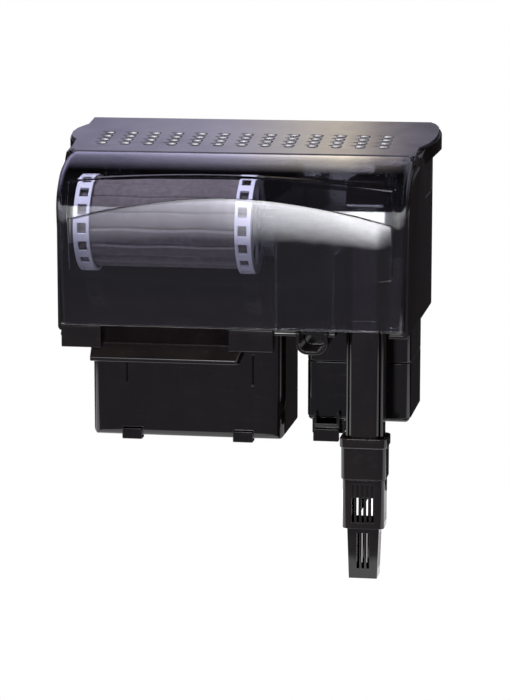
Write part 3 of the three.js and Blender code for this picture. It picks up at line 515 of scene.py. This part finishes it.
# ---------------------------------------------------------------- lid vents
VENT_COLUMNS, VENT_X0, VENT_PITCH = 13, -114.8, 18.6
VENT_ROWS = (22.5, 32.8, 43.1, 53.4)


def vent_louvres():
    """A small louvre in front of each vent slot: an upright lip that slopes back down to the lid."""
    points, faces = [], []
    length, height, ridge = 8.4, 1.15, 16
    ahead, skew, bow, sink = 3.7, 0.1, 0.14, 0.05
    lip = [(0.0, -0.1), (0.06, 1.0), (0.35, 0.98), (1.1, 0.0)]
    for column in range(VENT_COLUMNS):
        for y0 in VENT_ROWS:
            x0 = VENT_X0 + column * VENT_PITCH
            start = len(points)
            for i in range(ridge + 1):
                u = -1 + 2 * i / ridge
                swell = max(0.0, 1 - abs(u) ** 3.2) ** 0.6
                for back, rise in lip:
                    x = x0 + u * length / 2
                    y = y0 - ahead + back + skew * u + bow * u * u
                    z = lid_top(y) - sink + height * swell * rise
                    points.append((x, y, z))
            faces += [face[::-1] for face in grid_faces(ridge + 1, len(lip), start)]
    louvres = add_mesh("lid_vent_louvres", points, faces, "lid", LID_BLACK)
    louvres.data.set_sharp_from_angle(angle=math.radians(35))


vent_louvres()

# ---------------------------------------------------------------- media wheel
WHEEL_Y, WHEEL_Z = -12.0, 80.0
PLEATS, PLEAT_DEPTH = 16, 4.4
PLEAT_CLEARANCE = 0.15
CORE_R = 12.9


def pleated_media():
    """A sleeve of soft leaning folds between the wheel's two rims."""
    low, high = box_mm("pleated_media")
    outer = (high[1] - low[1]) / 2 - PLEAT_CLEARANCE
    inner = outer - PLEAT_DEPTH
    around, along = PLEATS * 16, 60
    points = []
    for i in range(along + 1):
        x = low[0] + (high[0] - low[0]) * i / along
        for j in range(around):
            turn = j / around
            phase = (turn * PLEATS) % 1.0
            fold = min(smoothstep(0.0, 0.13, phase), 1 - 0.5 * phase ** 1.6, 0.5 * (1 - phase) / 0.06)
            ripple = noise.noise(Vector((x * 0.05, turn * 60, 1.7))) * 0.15
            r = min(outer, inner + PLEAT_DEPTH * fold + ripple * (1 - fold))
            angle = 2 * math.pi * turn + 0.012 * math.sin(x * 0.11 + turn * 40)
            points.append((x, WHEEL_Y + r * math.cos(angle), WHEEL_Z + r * math.sin(angle)))
    faces = grid_faces(along + 1, around, close_columns=True)
    start = len(points)
    for i in (0, along):
        x = low[0] + (high[0] - low[0]) * i / along
        for j in range(around):
            angle = 2 * math.pi * j / around
            points.append((x, WHEEL_Y + CORE_R * math.cos(angle), WHEEL_Z + CORE_R * math.sin(angle)))
    last = along * around
    for j in range(around):
        k = (j + 1) % around
        faces.append((start + j, start + k, k, j))
        faces.append((last + j, last + k, start + around + k, start + around + j))
        faces.append((start + around + j, start + around + k, start + k, start + j))
    faces = [face[::-1] for face in faces]
    add_mesh("pleated_sleeve", points, faces, "media_wheel", PLEAT, ("pleated_media",))


pleated_media()


# ---------------------------------------------------------------- cartridges
def soft_slab(name, node, material, crown, roughen, cells):
    """A closed pad in a node's box: its two faces are crowned and roughened, its rim pulls in."""
    low, high = box_mm(node)
    columns, rows = 72, 76
    middle = (low[1] + high[1]) / 2
    half = (high[1] - low[1]) / 2
    points = []
    for side in (-1, 1):
        for i in range(rows + 1):
            for j in range(columns + 1):
                u, v = j / columns, i / rows
                from_rim = min(u, 1 - u, v, 1 - v)
                swell = 1 - (1 - min(1.0, from_rim * 10)) ** 3
                x = low[0] + (high[0] - low[0]) * u
                z = low[2] + (high[2] - low[2]) * v
                rough = noise.noise(Vector((x * cells, side * 9.1, z * cells))) * roughen
                stand = half * (0.35 + 0.65 * swell) - crown * (1 - swell) - abs(rough)
                points.append((x, middle + side * max(0.2, stand), z))
    wide = columns + 1
    size = (rows + 1) * wide
    faces = grid_faces(rows + 1, wide)
    faces += [face[::-1] for face in grid_faces(rows + 1, wide, size)]
    rim = list(range(wide))
    rim += [i * wide + columns for i in range(1, rows + 1)]
    rim += [rows * wide + j for j in range(columns - 1, -1, -1)]
    rim += [i * wide for i in range(rows - 1, 0, -1)]
    for a, b in zip(rim, rim[1:] + rim[:1]):
        faces.append((b, a, size + a, size + b))
    return add_mesh(name, points, faces, "filter", material, (node,))


for row in ("front", "rear"):
    floss = soft_slab(f"floss_sheet_{row}", f"floss_pad_{row}", FLOSS,
                      crown=0.3, roughen=0.5, cells=0.22)
    soft_slab(f"carbon_bed_{row}", f"carbon_fill_{row}", CARBON,
              crown=0.1, roughen=0.7, cells=0.75)


# ---------------------------------------------------------------- stator coil
def wound_coil():
    """Two layers of wire turns around the stator's yoke."""
    low, high = box_mm("stator_coil")
    wire, sides = 0.72, 8  # the wire's radius and its section's sides
    turns = 15
    points, faces = [], []
    for layer in range(2):
        inset = wire + 0.05 + layer * wire * 1.85  # the second layer sits in the first one's grooves
        y0, y1 = low[1] + inset, high[1] - inset
        z0, z1 = low[2] + inset, high[2] - inset
        r = 2.2 - layer * 0.6
        path = []
        corners = [(y1 - r, z1 - r), (y0 + r, z1 - r), (y0 + r, z0 + r), (y1 - r, z0 + r)]
        for quarter, (cy, cz) in enumerate(corners):
            for step in range(5):
                angle = math.radians(90 * quarter + 22.5 * step)
                path.append((cy + r * math.cos(angle), cz + r * math.sin(angle)))
        for turn in range(turns - layer):
            x = low[0] + wire + (high[0] - low[0] - 2 * wire) * (turn + 0.5 * layer) / (turns - 1)
            start = len(points)
            for k, (y, z) in enumerate(path):
                before, after = path[k - 1], path[(k + 1) % len(path)]
                along = Vector((after[0] - before[0], after[1] - before[1])).normalized()
                out = Vector((along.y, -along.x))
                for s in range(sides):
                    a = 2 * math.pi * s / sides
                    points.append((x + wire * math.sin(a), y + out.x * wire * math.cos(a),
                                   z + out.y * wire * math.cos(a)))
            faces += grid_faces(len(path), sides, start, close_rows=True, close_columns=True)
    add_mesh("copper_windings", points, faces, "filter", COPPER, ("stator_coil",))


wound_coil()


# ---------------------------------------------------------------- stage, lights and camera
STRAINER_DROP = 33.0  # the strainer's travel down, and 3 mm to spare


def floor():
    """A plain pale floor, low enough for the strainer to slide all the way down."""
    z = cad_box[0].z / MM - STRAINER_DROP
    x0, x1, y0, y1 = -1100, 1300, -220, 420
    corners = [(x0, y0), (x1, y0), (x1, y1), (x0, y1)]
    mesh = bpy.data.meshes.new("floor")
    mesh.from_pydata([(x * MM, y * MM, z * MM) for x, y in corners], [], [(0, 1, 2, 3)])
    plane = bpy.data.objects.new("floor", mesh)
    bpy.context.scene.collection.objects.link(plane)
    material, tree, shader, place = new_material("pale_floor")
    clouds = noise_node(tree, place, scale=3, detail=2)
    tone = ramp(tree, clouds, [(0.3, (0.30, 0.30, 0.30)), (0.7, (0.33, 0.33, 0.33))])
    tree.links.new(tone, shader.inputs["Base Color"])
    shader.inputs["Roughness"].default_value = 0.9
    shader.inputs["Emission Color"].default_value = (1.0, 1.0, 1.0, 1.0)
    shader.inputs["Emission Strength"].default_value = 1.0
    mesh.materials.append(material)


def area_light(name, place, target, size, power):
    """A soft white lamp that lights the goods and is never mirrored in them."""
    data = bpy.data.lights.new(name, "AREA")
    data.shape = "RECTANGLE"
    data.size, data.size_y = (v * MM for v in size)
    data.energy = power
    lamp = bpy.data.objects.new(name, data)
    bpy.context.scene.collection.objects.link(lamp)
    lamp.location = Vector(place) * MM
    lamp.rotation_euler = (Vector(target) * MM - lamp.location).to_track_quat("-Z", "Y").to_euler()
    lamp.visible_camera = False
    lamp.visible_glossy = False
    lamp.visible_transmission = False


def studio():
    """A band of light in front, a pale wall behind and dark cloth overhead, by direction.

    x, y and z are the parts of a direction out into the room. The camera itself sees plain white.
    """
    world = bpy.data.worlds.new("studio")
    bpy.context.scene.world = world
    world.use_nodes = True
    tree = world.node_tree
    place = tree.nodes.new("ShaderNodeTexCoord").outputs["Generated"]
    split = tree.nodes.new("ShaderNodeSeparateXYZ")
    tree.links.new(place, split.inputs[0])
    x, y, z = split.outputs
    rise = span(tree, z, -0.130, -0.02, 0.0, 1.0)
    fall = span(tree, z, 0.085, 0.135, 1.0, 0.0)
    front = span(tree, y, -0.05, 0.25, 1.0, 0.0)
    band = join_values(tree, "MULTIPLY", join_values(tree, "MULTIPLY", rise, fall), front)
    strip = ramp(tree, span(tree, x, -0.5, 0.5, 0.0, 1.0),
                 [(0.15, (2.4, 2.4, 2.6)), (0.27, (3.2, 3.2, 3.5)), (0.318, (8.0, 8.0, 8.5)),
                  (0.35, (18, 18, 18.5)), (0.39, (22, 22, 22)), (0.44, (12, 12, 12)),
                  (0.52, (4.2, 4.2, 4.2)), (0.9, (3.0, 3.0, 3.0))])
    behind = span(tree, y, 0.30, 0.62, 0.0, 1.0)
    above = span(tree, z, 0.05, 0.25, 0.0, 1.0)
    lit = join_values(tree, "MULTIPLY", behind, above)
    wall = ramp(tree, span(tree, x, -0.30, 0.0, 0.0, 1.0),
                [(0.0, (0.45, 0.43, 0.62)), (0.30, (0.5, 0.47, 0.68)), (0.43, (0.85, 0.8, 1.05)),
                 (0.49, (1.2, 1.12, 1.1)), (0.565, (1.7, 1.5, 1.15)), (0.61, (0.55, 0.48, 0.46)),
                 (0.645, (0.17, 0.16, 0.2)), (1.0, (0.25, 0.25, 0.28))])
    cloth = ramp(tree, span(tree, z, -0.25, 0.35, 0.0, 1.0),
                 [(0.0, (0.28, 0.265, 0.315)), (1.0, (0.085, 0.08, 0.10))])
    cloth = mix_colour(tree, span(tree, y, -0.3, 0.2, 0.0, 1.0), cloth, (0.022, 0.02, 0.022))
    room = mix_colour(tree, lit, cloth, wall)
    room = mix_colour(tree, band, room, strip)
    path = tree.nodes.new("ShaderNodeLightPath")
    seen = mix_colour(tree, path.outputs["Is Camera Ray"], room, (1.0, 1.0, 1.0))
    tree.links.new(seen, tree.nodes["Background"].inputs["Color"])
    area_light("overhead_key", place=(-300, -620, 1500), target=(-80, -20, 80), size=(600, 500), power=84)


def camera():
    """The product-shot view: a long lens, a little above and to the object's right."""
    azimuth, elevation = math.radians(9.55), math.radians(8.49)
    aim, distance = Vector((0, 23, 34)), 2193.0
    aside, below = 6.7, 57.2  # the shot's centre, from the point it looks at
    right = Vector((math.cos(azimuth), math.sin(azimuth), 0))
    ahead = Vector((-math.sin(azimuth) * math.cos(elevation), math.cos(azimuth) * math.cos(elevation),
                    -math.sin(elevation)))
    up = right.cross(ahead)
    data = bpy.data.cameras.new("camera")
    data.lens, data.sensor_width = 143.2, 36
    cam = bpy.data.objects.new("camera", data)
    bpy.context.scene.collection.objects.link(cam)
    cam.location = (aim - ahead * distance) * MM
    target = (aim + right * aside - up * below) * MM
    cam.rotation_euler = (target - cam.location).to_track_quat("-Z", "Y").to_euler()
    bpy.context.scene.camera = cam


floor()
studio()
camera()
bpy.context.scene.view_settings.view_transform = "Standard"
